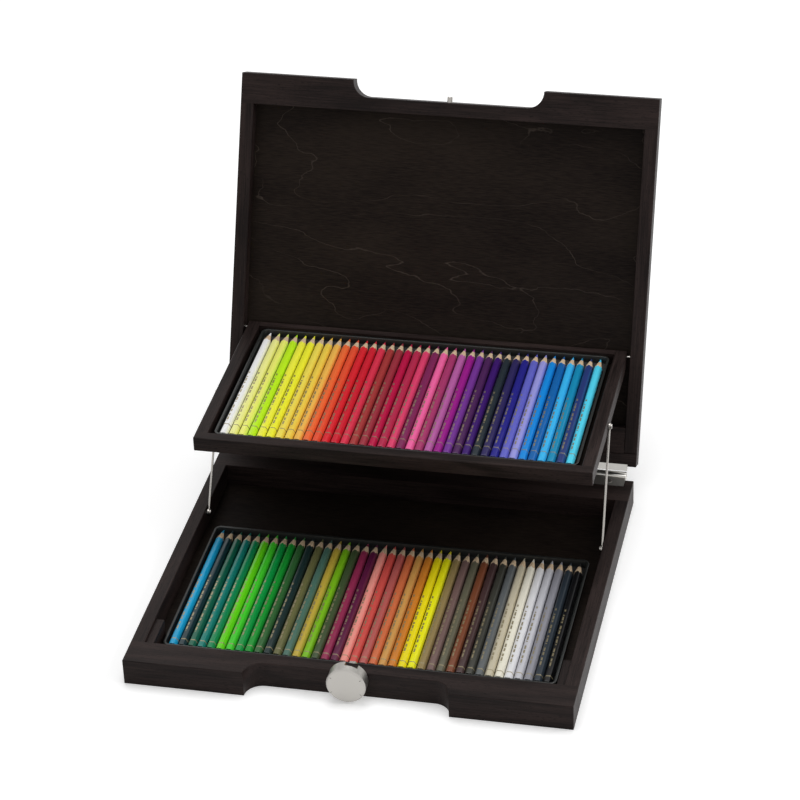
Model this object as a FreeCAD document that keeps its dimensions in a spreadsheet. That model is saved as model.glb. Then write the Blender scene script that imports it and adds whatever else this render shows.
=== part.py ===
import FreeCAD, Part
import math
import os
import Sketcher
from types import SimpleNamespace
from FreeCAD import Placement, Rotation, Vector

# Wooden pencil case whose lid lifts a second tray of pencils.
# Frame: +X to the right, +Y to the back, +Z up, origin at the middle of the underside.
# The base stands level. The lid and the tray are drawn where they stand with the case open.

# Driving sizes: lengths in millimetres, angles in degrees, counts as plain numbers
SIZES = {
    # Case
    "case_width": 386.0,
    "case_depth": 335.0,
    "base_height": 24.0,
    "lid_height": 16.0,
    "parting_gap": 0.3,
    "side_rail": 12.0,
    "front_rail": 28.0,
    "base_back_rail": 33.0,
    "lid_back_strip": 12.0,
    "lid_inner_rail": 23.5,
    "joint_groove": 0.9,
    "base_panel": 3.5,
    "lid_panel": 3.0,
    "rebate": 6.0,
    "panel_play": 0.2,
    "cut_past": 1.0,
    "arris": 0.5,
    # Finger notch in both front rails
    "notch_width": 176.0,
    "notch_depth": 15.7,
    "notch_corner": 15.0,
    # Hinge axis, behind the back face and below the parting line, and how far the lid leans
    "hinge_setback": 8.5,
    "hinge_drop": 1.5,
    "lid_angle": 114.0,
    # Hinges
    "hinge_width": 84.0,
    "hinge_inset": 8.0,
    "knuckle_width": 28.0,
    "knuckle_gap": 0.2,
    "barrel_radius": 4.0,
    "barrel_gap": 0.5,
    "leaf_thickness": 2.0,
    "leaf_sink": 0.2,
    "base_leaf_reach": 10.0,
    "lid_leaf_reach": 11.0,
    "leaf_gap": 0.2,
    "hinge_pin_radius": 1.5,
    "running_gap": 0.06,
    "fixed_gap": 0.03,
    # Room round the upper tray with the case shut: beside it, above it, and how much of the room
    # that it leaves in the lid's recess lies in front of it
    "strut_room": 3.5,
    "tray_head_room": 2.3,
    "tray_front_share": 0.13662,
    # Upper tray, measured from the axis of the pins that carry it
    "tray_height": 13.2,
    "tray_behind": 3.0,
    "tray_top": 4.1,
    "tray_side_rail": 11.0,
    "tray_front_rail": 10.0,
    "tray_back_rail": 7.0,
    "tray_bevel": 3.0,
    "tray_panel": 2.8,
    "tray_rebate": 4.0,
    "tray_pin_radius": 1.0,
    "tray_pin_in_lid": 6.0,
    "tray_pin_in_tray": 9.0,
    "rest_gap": 0.3,
    # Blocks in the front corners that the tray lies on
    "block_width": 7.0,
    "block_length": 36.5,
    # Wire struts with an eye at each end, held by small screws in the base and in the tray
    "wire_radius": 1.0,
    "strut_ahead": 109.8,
    "strut_lift": 4.6,
    "eye_gap": 0.1,
    "eye_thickness": 1.6,
    "strut_screw_radius": 1.3,
    "strut_screw_head": 2.4,
    "strut_screw_head_depth": 1.0,
    "strut_screw_length": 8.0,
    # Pressed inserts and ribbed liners, and the least room from an insert's rim to the rails
    "insert_height": 8.2,
    "sheet_metal": 0.8,
    "insert_rim": 1.4,
    "insert_corner": 4.6,
    "end_play": 0.55,
    "side_play": 1.77,
    "base_side_room": 9.9,
    "base_front_room": 15.0,
    "tray_side_room": 3.8,
    "tray_front_room": 2.8,
    "tray_rear_room": 0.2,
    "liner": 0.8,
    "liner_play": 0.3,
    "rib_width": 2.4,
    "rib_height": 1.5,
    # Pencils
    "pencil_length": 175.0,
    "pencil_flats": 7.0,
    "pencil_pitch": 8.35,
    "pencil_tip": 15.0,
    "lead_flat": 0.35,
    # Knob that catches the stud on the lid
    "knob_radius": 17.0,
    "knob_depth": 12.0,
    "knob_drop": 5.5,
    "knob_standoff": 1.0,
    "knob_cavity": 13.4,
    "knob_cavity_depth": 8.4,
    "knob_bevel": 1.2,
    "slot_depth": 5.0,
    "slot_start": -6.0,
    "slot_end": 33.0,
    "spindle_radius": 3.0,
    "spindle_tail": 6.0,
    "nut_gap": 0.1,
    "nut_flats": 9.0,
    "nut_depth": 4.0,
    "stud_radius": 2.4,
    "stud_reach": 5.4,
    "stud_root": 7.0,
    "stud_offset": 1.5,
    "stud_height": 4.2,
    "stud_bevel": 0.5,
}


class Size:
    """A number together with the spreadsheet formula that it comes from."""

    def __init__(self, number, formula):
        self.number = float(number)
        self.formula = formula

    def __add__(self, other):
        other = sized(other)
        return Size(self.number + other.number, f"({self.formula} + {other.formula})")

    def __sub__(self, other):
        other = sized(other)
        return Size(self.number - other.number, f"({self.formula} - {other.formula})")

    def __rsub__(self, other):
        return sized(other) - self

    def __mul__(self, other):
        other = sized(other)
        return Size(self.number * other.number, f"({self.formula} * {other.formula})")

    def __truediv__(self, other):
        other = sized(other)
        return Size(self.number / other.number, f"({self.formula} / {other.formula})")

    def __neg__(self):
        return self * -1

    __radd__ = __add__
    __rmul__ = __mul__


def sized(value):
    return value if isinstance(value, Size) else Size(value, f"({value})")


def root(value):
    return Size(math.sqrt(value.number), f"sqrt({value.formula})")


def sine(angle):
    return Size(math.sin(math.radians(angle.number)), f"sin({angle.formula} * 1 deg)")


def cosine(angle):
    return Size(math.cos(math.radians(angle.number)), f"cos({angle.formula} * 1 deg)")


def whole(value):
    return Size(math.floor(value.number), f"floor({value.formula})")


def slope_angle(rise, run):
    degrees = math.degrees(math.atan2(rise.number, run.number))
    return Size(degrees, f"(atan2({rise.formula}; {run.formula}) / 1 deg)")


def in_order(*places):
    return sorted(places, key=lambda place: place.number)


doc = FreeCAD.newDocument("pencil_case")
sheet = doc.addObject("Spreadsheet::Sheet", "Sizes")
for row, (name, number) in enumerate(SIZES.items(), start=1):
    sheet.set(f"A{row}", name)
    sheet.set(f"B{row}", str(number))
    sheet.setAlias(f"B{row}", name)
doc.recompute()
s = SimpleNamespace(**{name: Size(number, f"Sizes.{name}") for name, number in SIZES.items()})
ZERO = sized(0)
SAME_PLACE = 1e-6
HEX_CORNER_SHARE = 1 / math.sqrt(3)
PENCIL_GROUPS = 4

# Places shared by several pieces, in the frame of the closed case
half_width = s.case_width / 2
front = -s.case_depth / 2
back = s.case_depth / 2
inner_half = half_width - s.side_rail
inner_front = front + s.front_rail
inner_back = back - s.base_back_rail
floor = s.base_panel
notch_half = s.notch_width / 2
notch_face = front + s.notch_depth
hinge_y = back + s.hinge_setback
hinge_z = s.base_height - s.hinge_drop
hinge_half = s.hinge_width / 2
hinge_x = half_width - s.hinge_inset - hinge_half

# Inserts as long as the pencils, with as many pencils side by side as the base and the tray have room for
insert_length = s.pencil_length + 2 * (s.end_play + s.sheet_metal + s.insert_rim)
insert_side = s.side_play + s.sheet_metal + s.insert_rim
tray_half = inner_half - s.strut_room
tray_rail_x = tray_half - s.tray_side_rail
lower_count = whole(2 * (inner_half - s.base_side_room - insert_side) / s.pencil_pitch)
upper_count = whole(2 * (tray_rail_x - s.tray_side_room - insert_side) / s.pencil_pitch)

# The tray about its pins: it holds the upper insert, and lies clear of the base and the lid when shut
tray_insert_rear = s.tray_behind - s.tray_back_rail - s.tray_rear_room
tray_ahead = insert_length - tray_insert_rear + s.tray_front_room + s.tray_front_rail
tray_underside = s.tray_top - s.tray_height
recess_reach = s.hinge_setback + s.lid_back_strip + s.lid_inner_rail
recess_room = hinge_y - inner_front - recess_reach - tray_ahead - s.tray_behind
pin_ahead = hinge_y - inner_front - recess_room * s.tray_front_share - tray_ahead
pin_rise = s.hinge_drop + s.parting_gap + s.lid_height - s.lid_panel - s.tray_head_room - s.tray_top

# Where the tray's pins stand with the lid open
turn_sine = sine(s.lid_angle)
turn_cosine = cosine(s.lid_angle)
pin_open_y = hinge_y - pin_ahead * turn_cosine + pin_rise * turn_sine
pin_open_z = hinge_z + pin_ahead * turn_sine + pin_rise * turn_cosine
arm_y = pin_open_y - hinge_y
arm_z = pin_open_z - hinge_z
arm_length = root(pin_ahead * pin_ahead + pin_rise * pin_rise)

# Struts stay parallel to the line from the hinge axis to the tray's pins, so the tray stays level
strut_top_z = tray_underside + s.strut_lift
strut_foot_y = pin_open_y - s.strut_ahead - arm_y
strut_foot_z = pin_open_z + strut_top_z - arm_z
foot_eye_x = inner_half - s.eye_gap - s.wire_radius
head_eye_x = tray_half + s.eye_gap + s.wire_radius
eye_radius = s.strut_screw_radius + s.running_gap + s.wire_radius
strut_lean = slope_angle(arm_z, arm_y)
block_top = hinge_z + pin_rise + tray_underside - s.rest_gap

parts = []


def line_to(x, y):
    return (sized(x), sized(y), None)


def arc_to(x, y, centre, radius, ccw):
    """A corner reached by an arc about centre from the corner before it."""
    return (sized(x), sized(y), (sized(centre[0]), sized(centre[1]), sized(radius), ccw))


def rectangle(x0, x1, y0, y1):
    return [line_to(x0, y0), line_to(x1, y0), line_to(x1, y1), line_to(x0, y1)]


def rounded_rectangle(x0, x1, y0, y1, radius):
    return [
        line_to(x1 - radius, y0),
        arc_to(x1, y0 + radius, (x1 - radius, y0 + radius), radius, True),
        line_to(x1, y1 - radius),
        arc_to(x1 - radius, y1, (x1 - radius, y1 - radius), radius, True),
        line_to(x0 + radius, y1),
        arc_to(x0, y1 - radius, (x0 + radius, y1 - radius), radius, True),
        line_to(x0, y0 + radius),
        arc_to(x0 + radius, y0, (x0 + radius, y0 + radius), radius, True),
    ]


def hexagon(flats):
    corner = flats * HEX_CORNER_SHARE
    flat = flats / 2
    return [
        line_to(corner, ZERO),
        line_to(corner / 2, flat),
        line_to(-corner / 2, flat),
        line_to(-corner, ZERO),
        line_to(-corner / 2, -flat),
        line_to(corner / 2, -flat),
    ]


def body(label, y=ZERO, z=ZERO, x=ZERO, lean=None):
    """A sub-part whose own frame stands at x, y, z, turned about X by lean."""
    piece = doc.addObject("PartDesign::Body", label)
    piece.Label = label
    piece.AllowCompound = True
    angle = lean.number if lean else 0
    place = Vector(x.number, y.number, z.number)
    piece.Placement = Placement(place, Rotation(Vector(1, 0, 0), angle))
    for axis, value in (("x", x), ("y", y), ("z", z)):
        if value is not ZERO:
            piece.setExpression(f"Placement.Base.{axis}", value.formula)
    if lean:
        piece.setExpression("Placement.Rotation.Angle", lean.formula)
    parts.append(piece)
    return piece


def base_body(label):
    return body(label)


def lid_body(label):
    """A piece of the lid, drawn shut about the hinge axis and leaned back by the lid's angle."""
    return body(label, y=hinge_y, z=hinge_z, lean=-s.lid_angle)


def tray_body(label):
    """A piece of the upper tray, drawn about the axis of its pins."""
    return body(label, y=pin_open_y, z=pin_open_z)


def sketch(piece, role, at=ZERO):
    """A sketch on one of the body's own planes, moved to the height at along the row axis."""
    plane = next(feature for feature in piece.Origin.OriginFeatures if feature.Role == role)
    drawing = piece.newObject("Sketcher::SketchObject", f"{piece.Label}_sketch")
    drawing.AttachmentSupport = [(plane, "")]
    drawing.MapMode = "FlatFace"
    if at is not ZERO:
        shift = -at if role == "XZ_Plane" else at
        drawing.AttachmentOffset = Placement(Vector(0, 0, shift.number), Rotation())
        drawing.setExpression("AttachmentOffset.Base.z", shift.formula)
    return drawing


def bind(drawing, kind, *where, value):
    index = drawing.addConstraint(Sketcher.Constraint(kind, *where, value.number))
    drawing.setExpression(f"Constraints[{index}]", value.formula)


def draw(drawing, path):
    """Draw a path of lines and arcs, with every corner tied to the sizes it is given in."""
    first = drawing.GeometryCount
    edges = []
    corners = list(zip(path, path[1:] + path[:1]))
    for start, end in corners:
        begin = Vector(start[0].number, start[1].number, 0)
        finish = Vector(end[0].number, end[1].number, 0)
        if end[2] is None:
            drawing.addGeometry(Part.LineSegment(begin, finish), False)
            edges.append((1, 2))
            continue
        centre_x, centre_y, radius, ccw = end[2]
        centre = Vector(centre_x.number, centre_y.number, 0)
        circle = Part.Circle(centre, Vector(0, 0, 1), radius.number)
        low, high = (begin, finish) if ccw else (finish, begin)
        low_angle = math.atan2(low.y - centre.y, low.x - centre.x)
        high_angle = math.atan2(high.y - centre.y, high.x - centre.x)
        if high_angle <= low_angle:
            high_angle += 2 * math.pi
        drawing.addGeometry(Part.ArcOfCircle(circle, low_angle, high_angle), False)
        edges.append((1, 2) if ccw else (2, 1))
    for index, (start, end) in enumerate(corners):
        geometry = first + index
        bind(drawing, "DistanceX", -1, 1, geometry, edges[index][0], value=start[0])
        bind(drawing, "DistanceY", -1, 1, geometry, edges[index][0], value=start[1])
        if end[2] is not None:
            bind(drawing, "Radius", geometry, value=end[2][2])
        follower = (index + 1) % len(corners)
        join = (geometry, edges[index][1], first + follower, edges[follower][0])
        drawing.addConstraint(Sketcher.Constraint("Coincident", *join))


def draw_circle(drawing, x, y, radius):
    x, y, radius = sized(x), sized(y), sized(radius)
    circle = Part.Circle(Vector(x.number, y.number, 0), Vector(0, 0, 1), radius.number)
    index = drawing.addGeometry(circle, False)
    bind(drawing, "DistanceX", -1, 1, index, 3, value=x)
    bind(drawing, "DistanceY", -1, 1, index, 3, value=y)
    bind(drawing, "Radius", index, value=radius)


def add_feature(piece, kind, drawing, length, reverse):
    feature = piece.newObject(f"PartDesign::{kind}", f"{piece.Label}_{kind.lower()}")
    feature.Profile = drawing
    feature.Length = length.number
    feature.setExpression("Length", length.formula)
    feature.Reversed = reverse
    drawing.Visibility = False
    piece.Tip = feature
    return feature


def pad(piece, role, paths, low, high):
    """Raise the paths from low to high along the axis that the plane faces."""
    at = high if role == "XZ_Plane" else low
    drawing = sketch(piece, role, at)
    for path in paths:
        draw(drawing, path)
    return add_feature(piece, "Pad", drawing, high - low, False)


def pocket(piece, role, paths, low, high):
    """Cut the paths away from low to high along the axis that the plane faces."""
    at = low if role == "XZ_Plane" else high
    drawing = sketch(piece, role, at)
    for path in paths:
        draw(drawing, path)
    return add_feature(piece, "Pocket", drawing, high - low, False)


def drill(piece, role, holes, radius, low, high):
    """Round holes of one radius at each (x, y) of the plane."""
    at = low if role == "XZ_Plane" else high
    drawing = sketch(piece, role, at)
    for x, y in holes:
        draw_circle(drawing, x, y, radius)
    return add_feature(piece, "Pocket", drawing, high - low, False)


def turned(piece, path, role="YZ_Plane", axis="H_Axis"):
    """Turn a path about its plane's first axis, or about one of its own edges."""
    drawing = sketch(piece, role)
    draw(drawing, path)
    feature = piece.newObject("PartDesign::Revolution", f"{piece.Label}_turned")
    feature.Profile = drawing
    feature.ReferenceAxis = (drawing, [axis])
    feature.Angle = 360
    drawing.Visibility = False
    piece.Tip = feature


def in_plane(edge, axis, place):
    box = edge.BoundBox
    low, high = getattr(box, f"{axis}Min"), getattr(box, f"{axis}Max")
    return abs(low - place.number) < SAME_PLACE and abs(high - place.number) < SAME_PLACE


def break_edges(piece, rims, corners=(), avoid=()):
    """Chamfer every edge that lies in a rim plane or where two corner planes meet, but none in avoid."""
    doc.recompute()
    solid = piece.Tip
    names = []
    for index, edge in enumerate(solid.Shape.Edges, start=1):
        on_rim = any(in_plane(edge, *rim) for rim in rims)
        on_corner = any(in_plane(edge, *first) and in_plane(edge, *second) for first, second in corners)
        if (on_rim or on_corner) and not any(in_plane(edge, *plane) for plane in avoid):
            names.append(f"Edge{index}")
    feature = piece.newObject("PartDesign::Chamfer", f"{piece.Label}_arris")
    feature.Base = (solid, names)
    feature.Size = s.arris.number
    feature.setExpression("Size", s.arris.formula)
    piece.Tip = feature


def repeat_across(piece, feature, step, count):
    """Repeat a feature to the right, count times in all, one step apart."""
    pattern = piece.newObject("PartDesign::LinearPattern", f"{piece.Label}_row")
    pattern.Originals = [feature]
    pattern.Direction = (feature.Profile[0], ["H_Axis"])
    reach = step * (count - 1)
    pattern.Length = reach.number
    pattern.setExpression("Length", reach.formula)
    pattern.Occurrences = int(count.number)
    pattern.setExpression("Occurrences", count.formula)
    piece.Tip = pattern
    return pattern


def block(piece, x0, x1, y0, y1, low, high):
    return pad(piece, "XY_Plane", [rectangle(x0, x1, y0, y1)], low, high)


def cut_block(piece, x0, x1, y0, y1, low, high):
    return pocket(piece, "XY_Plane", [rectangle(x0, x1, y0, y1)], low, high)


def notched_rail(piece, face, inner, low, high):
    """A front rail with the finger notch, whose inner corners are quarter rounds."""
    floor_y = face + s.notch_depth
    arc_y = floor_y - s.notch_corner
    arc_x = notch_half - s.notch_corner
    radius = s.notch_corner
    path = [
        line_to(-half_width, face),
        line_to(-notch_half, face),
        line_to(-notch_half, arc_y),
        arc_to(-arc_x, floor_y, (-arc_x, arc_y), radius, False),
        line_to(arc_x, floor_y),
        arc_to(notch_half, arc_y, (arc_x, arc_y), radius, False),
        line_to(notch_half, face),
        line_to(half_width, face),
        line_to(half_width, inner),
        line_to(-half_width, inner),
    ]
    return pad(piece, "XY_Plane", [path], low, high)


# Base: a frame of four rails round a panel let into a rebate
rebate_half = inner_half + s.rebate
rebate_front = inner_front - s.rebate
rebate_back = inner_back + s.rebate
knob_y = notch_face - s.knob_standoff
knob_z = s.base_height - s.knob_drop
leaf_floor = s.base_height - s.leaf_sink - s.leaf_thickness


def base_frame():
    rail = base_body("base_front_rail")
    notched_rail(rail, front, inner_front, ZERO, s.base_height)
    cut_block(rail, -rebate_half, rebate_half, rebate_front, inner_front + s.cut_past, ZERO, floor)
    spindle_hole = s.spindle_radius + s.running_gap
    drill(rail, "XZ_Plane", [(ZERO, knob_z)], spindle_hole,
          notch_face - s.cut_past, inner_front + s.cut_past)
    ends = [(("Y", front), ("X", side * half_width)) for side in (-1, 1)]
    break_edges(rail, [("Z", s.base_height)], ends, avoid=[("Y", inner_front)])

    rail = base_body("base_back_rail")
    block(rail, -half_width, half_width, inner_back, back, ZERO, s.base_height)
    cut_block(rail, -rebate_half, rebate_half, inner_back - s.cut_past, rebate_back, ZERO, floor)
    for side in (-1, 1):
        outer = side * hinge_x + hinge_half + s.panel_play
        inner = side * hinge_x - hinge_half - s.panel_play
        cut_block(rail, inner, outer, back - s.base_leaf_reach - s.panel_play, back + s.cut_past,
                  leaf_floor, s.base_height + s.cut_past)
    outer = [(("Z", s.base_height), ("Y", back))]
    outer += [((axis, place), ("X", side * half_width))
              for side in (-1, 1) for axis, place in (("Z", s.base_height), ("Y", back))]
    break_edges(rail, [], outer)

    for name, side in (("left", -1), ("right", 1)):
        rail = base_body(f"base_{name}_rail")
        low, high = in_order(side * inner_half, side * half_width)
        block(rail, low, high, inner_front, inner_back, ZERO, s.base_height)
        low, high = in_order(side * (inner_half - s.cut_past), side * rebate_half)
        cut_block(rail, low, high, inner_front, inner_back, ZERO, floor)
        mouth = side * (inner_half - s.cut_past)
        end = side * (inner_half + s.strut_screw_length)
        low, high = in_order(mouth, end)
        screw_hole = s.strut_screw_radius + s.fixed_gap
        drill(rail, "YZ_Plane", [(strut_foot_y, strut_foot_z)], screw_hole, low, high)
        break_edges(rail, [("Z", s.base_height)], avoid=[("Y", inner_front), ("Y", inner_back)])

    panel = base_body("base_panel")
    play = s.panel_play
    block(panel, -rebate_half + play, rebate_half - play,
          rebate_front + play, rebate_back - play, ZERO, floor)

    for name, side in (("left", -1), ("right", 1)):
        rest = base_body(f"rest_block_{name}")
        low, high = in_order(side * inner_half, side * (inner_half - s.block_width))
        block(rest, low, high, inner_front, inner_front + s.block_length, floor, block_top)


# Lid: drawn shut, with places measured from the hinge axis
lid_low = s.hinge_drop + s.parting_gap
lid_high = lid_low + s.lid_height
lid_face = front - hinge_y
lid_inner = inner_front - hinge_y
lid_back = back - hinge_y
strip_front = lid_back - s.lid_back_strip
recess_back = -recess_reach
panel_low = lid_high - s.lid_panel
stud_z = lid_low + s.stud_height
leaf_arm_low = lid_low + s.leaf_gap
leaf_plate_front = lid_back - s.leaf_thickness
lid_leaf_high = leaf_arm_low + s.lid_leaf_reach


def lid_frame():
    rail = lid_body("lid_front_rail")
    notched_rail(rail, lid_face, lid_inner, lid_low, lid_high)
    cut_block(rail, -rebate_half, rebate_half, lid_inner - s.rebate, lid_inner + s.cut_past,
              panel_low, lid_high + s.cut_past)
    drill(rail, "XZ_Plane", [(s.stud_offset, stud_z)], s.stud_radius + s.fixed_gap,
          lid_face + s.notch_depth - s.cut_past, lid_face + s.notch_depth + s.stud_root + s.cut_past)
    ends = [(("Y", lid_face), ("X", side * half_width)) for side in (-1, 1)]
    joints = [("Y", lid_inner), ("Y", lid_inner - s.rebate), ("X", rebate_half), ("X", -rebate_half)]
    break_edges(rail, [("Z", lid_low), ("Z", lid_high)], ends, avoid=joints)

    strip = lid_body("lid_back_strip")
    block(strip, -half_width, half_width, strip_front, lid_back, lid_low, lid_high)
    for side in (-1, 1):
        outer = side * hinge_x + hinge_half + s.panel_play
        inner = side * hinge_x - hinge_half - s.panel_play
        cut_block(strip, inner, outer, leaf_plate_front, lid_back + s.cut_past,
                  lid_low - s.cut_past, lid_leaf_high + s.panel_play)
    lip = [line_to(strip_front, lid_low), line_to(strip_front + s.joint_groove, lid_low),
           line_to(strip_front, lid_low + s.joint_groove)]
    pocket(strip, "YZ_Plane", [lip], -half_width - s.cut_past, half_width + s.cut_past)
    outer = [(("Z", lid_high), ("Y", lid_back)), (("Z", lid_low), ("Y", lid_back))]
    outer += [((axis, place), ("X", side * half_width))
              for side in (-1, 1) for axis, place in (("Z", lid_low), ("Z", lid_high), ("Y", lid_back))]
    break_edges(strip, [], outer)

    rail = lid_body("lid_inner_rail")
    block(rail, -inner_half, inner_half, recess_back, strip_front, lid_low, lid_high)
    cut_block(rail, -inner_half, inner_half, recess_back - s.cut_past, recess_back + s.rebate,
              panel_low, lid_high + s.cut_past)

    for name, side in (("left", -1), ("right", 1)):
        rail = lid_body(f"lid_{name}_rail")
        low, high = in_order(side * inner_half, side * half_width)
        block(rail, low, high, lid_inner, strip_front, lid_low, lid_high)
        low, high = in_order(side * (inner_half - s.cut_past), side * rebate_half)
        cut_block(rail, low, high, lid_inner, recess_back + s.rebate, panel_low, lid_high + s.cut_past)
        mouth = side * (inner_half - s.cut_past)
        end = side * (inner_half + s.tray_pin_in_lid + s.cut_past)
        low, high = in_order(mouth, end)
        drill(rail, "YZ_Plane", [(-pin_ahead, pin_rise)], s.tray_pin_radius + s.running_gap, low, high)
        long_edges = [(("Z", place), ("X", side * half_width)) for place in (lid_low, lid_high)]
        long_edges.append((("Z", lid_low), ("X", side * inner_half)))
        lip = [line_to(strip_front - s.joint_groove, lid_low), line_to(strip_front, lid_low),
               line_to(strip_front, lid_low + s.joint_groove)]
        pocket(rail, "YZ_Plane", [lip], -half_width - s.cut_past, half_width + s.cut_past)
        break_edges(rail, [], long_edges)

    panel = lid_body("lid_panel")
    play = s.panel_play
    block(panel, -rebate_half + play, rebate_half - play, lid_inner - s.rebate + play,
          recess_back + s.rebate - play, panel_low, lid_high)

    stud = lid_body("catch_stud")
    tip = lid_face + s.notch_depth - s.stud_reach
    root_end = lid_face + s.notch_depth + s.stud_root
    stud.Placement.Base.x = s.stud_offset.number
    stud.setExpression("Placement.Base.x", s.stud_offset.formula)
    turned(stud, [
        line_to(tip, stud_z),
        line_to(root_end, stud_z),
        line_to(root_end, stud_z + s.stud_radius),
        line_to(tip + s.stud_bevel, stud_z + s.stud_radius),
        line_to(tip, stud_z + s.stud_radius - s.stud_bevel),
    ], axis="Edge1")


# Upper tray: a frame of four rails and a panel, carried on two pins in the lid
def upper_tray():
    ahead = -tray_ahead
    rail_inner = ahead + s.tray_front_rail
    low = tray_underside
    high = s.tray_top
    rail_x = tray_rail_x
    panel_half = rail_x + s.tray_rebate
    back_inner = s.tray_behind - s.tray_back_rail
    rear_bevel = [
        line_to(s.tray_behind - s.tray_bevel, low),
        line_to(s.tray_behind, low),
        line_to(s.tray_behind, low + s.tray_bevel),
    ]

    rail = tray_body("tray_front_rail")
    block(rail, -tray_half, tray_half, ahead, rail_inner, low, high)
    cut_block(rail, -panel_half, panel_half, rail_inner - s.tray_rebate, rail_inner + s.cut_past,
              low, low + s.tray_panel)
    ends = [(("Y", ahead), ("X", side * tray_half)) for side in (-1, 1)]
    break_edges(rail, [("Z", high)], ends, avoid=[("Y", rail_inner)])

    rail = tray_body("tray_back_rail")
    block(rail, -rail_x, rail_x, back_inner, s.tray_behind, low, high)
    cut_block(rail, -rail_x, rail_x, back_inner - s.cut_past, back_inner + s.tray_bevel,
              low, low + s.tray_panel)
    pocket(rail, "YZ_Plane", [rear_bevel], -tray_half, tray_half)

    for name, side in (("left", -1), ("right", 1)):
        rail = tray_body(f"tray_{name}_rail")
        inner, outer = in_order(side * rail_x, side * tray_half)
        block(rail, inner, outer, rail_inner, s.tray_behind, low, high)
        inner, outer = in_order(side * (rail_x - s.cut_past), side * panel_half)
        cut_block(rail, inner, outer, rail_inner, back_inner + s.tray_bevel, low, low + s.tray_panel)
        pocket(rail, "YZ_Plane", [rear_bevel], -tray_half - s.cut_past, tray_half + s.cut_past)
        mouth = side * (tray_half + s.cut_past)
        pin_end = side * (tray_half - s.tray_pin_in_tray)
        inner, outer = in_order(mouth, pin_end)
        drill(rail, "YZ_Plane", [(ZERO, ZERO)], s.tray_pin_radius + s.fixed_gap, inner, outer)
        screw_end = side * (tray_half - s.strut_screw_length)
        inner, outer = in_order(mouth, screw_end)
        screw_hole = s.strut_screw_radius + s.fixed_gap
        drill(rail, "YZ_Plane", [(-s.strut_ahead, strut_top_z)], screw_hole, inner, outer)
        long_edges = [(("Z", high), ("X", side * place)) for place in (tray_half, rail_x)]
        break_edges(rail, [], long_edges)

    panel = tray_body("tray_panel")
    play = s.panel_play
    block(panel, -panel_half + play, panel_half - play, rail_inner - s.tray_rebate + play,
          back_inner + s.tray_bevel - play, low, low + s.tray_panel)

    for name, side in (("left", -1), ("right", 1)):
        pin = tray_body(f"tray_pin_{name}")
        tray_end = side * (tray_half - s.tray_pin_in_tray)
        lid_end = side * (inner_half + s.tray_pin_in_lid)
        inner, outer = in_order(tray_end, lid_end)
        drawing = sketch(pin, "YZ_Plane", inner)
        draw_circle(drawing, ZERO, ZERO, s.tray_pin_radius)
        add_feature(pin, "Pad", drawing, outer - inner, False)


# Inserts: a pressed sheet tray with a flat rim, and a ribbed liner that spaces the pencils
def insert(label, place, count, rear, low):
    """A pressed insert for count pencils, with its rim's back edge at rear and its floor at low."""
    well_half = count * s.pencil_pitch / 2 + s.side_play
    wall_half = well_half + s.sheet_metal
    rim_half = wall_half + s.insert_rim
    rim_front = rear - insert_length
    wall_front = rim_front + s.insert_rim
    wall_back = rear - s.insert_rim
    well_front = wall_front + s.sheet_metal
    well_back = wall_back - s.sheet_metal
    well_corner = s.insert_corner - s.sheet_metal
    rim_corner = s.insert_corner + s.insert_rim
    high = low + s.insert_height

    shell = place(f"{label}_insert")
    outer = rounded_rectangle(-wall_half, wall_half, wall_front, wall_back, s.insert_corner)
    well = rounded_rectangle(-well_half, well_half, well_front, well_back, well_corner)
    rim = rounded_rectangle(-rim_half, rim_half, rim_front, rear, rim_corner)
    pad(shell, "XY_Plane", [outer], low, high - s.sheet_metal)
    pad(shell, "XY_Plane", [rim], high - s.sheet_metal, high)
    pocket(shell, "XY_Plane", [well], low + s.sheet_metal, high + s.cut_past)

    liner = place(f"{label}_liner")
    gap = s.liner_play
    sheet_low = low + s.sheet_metal
    sheet_high = sheet_low + s.liner
    plate = rounded_rectangle(-well_half + gap, well_half - gap,
                              well_front + gap, well_back - gap, well_corner)
    pad(liner, "XY_Plane", [plate], sheet_low, sheet_high)
    first = -count * s.pencil_pitch / 2
    rib = [
        line_to(first - s.rib_width / 2, sheet_high - s.liner / 2),
        line_to(first + s.rib_width / 2, sheet_high - s.liner / 2),
        line_to(first + s.rib_width / 2, sheet_high),
        line_to(first, sheet_high + s.rib_height),
        line_to(first - s.rib_width / 2, sheet_high),
    ]
    ridge = pad(liner, "XZ_Plane", [rib], well_front + well_corner, well_back - s.pencil_tip)
    repeat_across(liner, ridge, s.pencil_pitch, count + 1)
    return sheet_high, well_front + s.end_play


def pencils(label, count, y, z, bed, butt):
    """Sharpened six-sided pencils that lie side by side on the bed, in groups of nearly even size."""
    first = ZERO
    for group in range(1, PENCIL_GROUPS + 1):
        size = whole((count + PENCIL_GROUPS - group) / PENCIL_GROUPS)
        shift = (first - (count - 1) / 2) * s.pencil_pitch
        row_z = z + bed + s.pencil_flats / 2
        row = body(f"{label}_pencils_{group}", x=shift, y=y + butt, z=row_z)
        stick = pad(row, "XZ_Plane", [hexagon(s.pencil_flats)], ZERO, s.pencil_length)
        pattern = repeat_across(row, stick, s.pencil_pitch, size)
        doc.recompute()
        ends = [f"Edge{index}" for index, edge in enumerate(pattern.Shape.Edges, start=1)
                if in_plane(edge, "Y", s.pencil_length)]
        tips = row.newObject("PartDesign::Chamfer", f"{row.Label}_tips")
        tips.Base = (pattern, ends)
        tips.ChamferType = "Two distances"
        narrowing = s.pencil_flats / 2 - s.lead_flat
        for distance, value in (("Size", s.pencil_tip), ("Size2", narrowing)):
            setattr(tips, distance, value.number)
            tips.setExpression(distance, value.formula)
        row.Tip = tips
        first = first + size


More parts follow.
